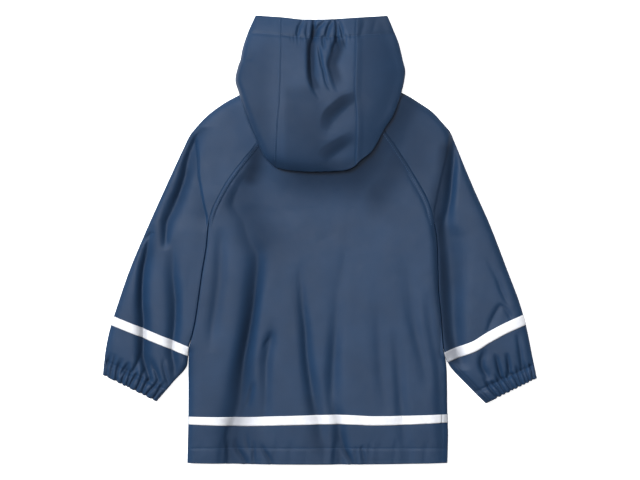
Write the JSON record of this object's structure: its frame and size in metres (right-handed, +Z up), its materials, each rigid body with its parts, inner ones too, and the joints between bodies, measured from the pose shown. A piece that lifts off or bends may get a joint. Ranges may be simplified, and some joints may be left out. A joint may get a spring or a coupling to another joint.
{
  "type": "child's raincoat",
  "caption": "Child's hooded raincoat laid flat with its back up: raglan sleeves, gathered cuffs, panelled hood and reflective tape.",
  "frame": {"origin": "on the surface the coat lies on, under the centre of the coat's bounding box", "axes": "+X across the coat towards the sleeve that is on the right when it is seen from above, +Y from hem to hood, +Z up, away from the surface it lies on and out of its back"},
  "size_m": [0.651, 0.6711, 0.0337],
  "materials": {
    "coated_cloth": "satin navy polyurethane-coated fabric",
    "reflective_tape": "silver-white retroreflective tape",
    "stud_metal": "dark lacquered press studs"
  },
  "bodies": {
    "root": {"back": "coated_cloth", "front_left": "coated_cloth", "front_right": "coated_cloth", "sleeve_left": "coated_cloth", "sleeve_right": "coated_cloth", "hood_centre": "coated_cloth", "hood_side_left": "coated_cloth", "hood_side_right": "coated_cloth", "tape_hem_back": "reflective_tape", "tape_hem_front_left": "reflective_tape", "tape_hem_front_right": "reflective_tape", "tape_sleeve_left": "reflective_tape", "tape_sleeve_right": "reflective_tape", "stud_cap_1": "stud_metal", "stud_cap_2": "stud_metal", "stud_cap_3": "stud_metal", "stud_cap_4": "stud_metal", "stud_cap_5": "stud_metal", "stud_back_1": "stud_metal", "stud_back_2": "stud_metal", "stud_back_3": "stud_metal", "stud_back_4": "stud_metal", "stud_back_5": "stud_metal"}
  },
  "joints": []
}
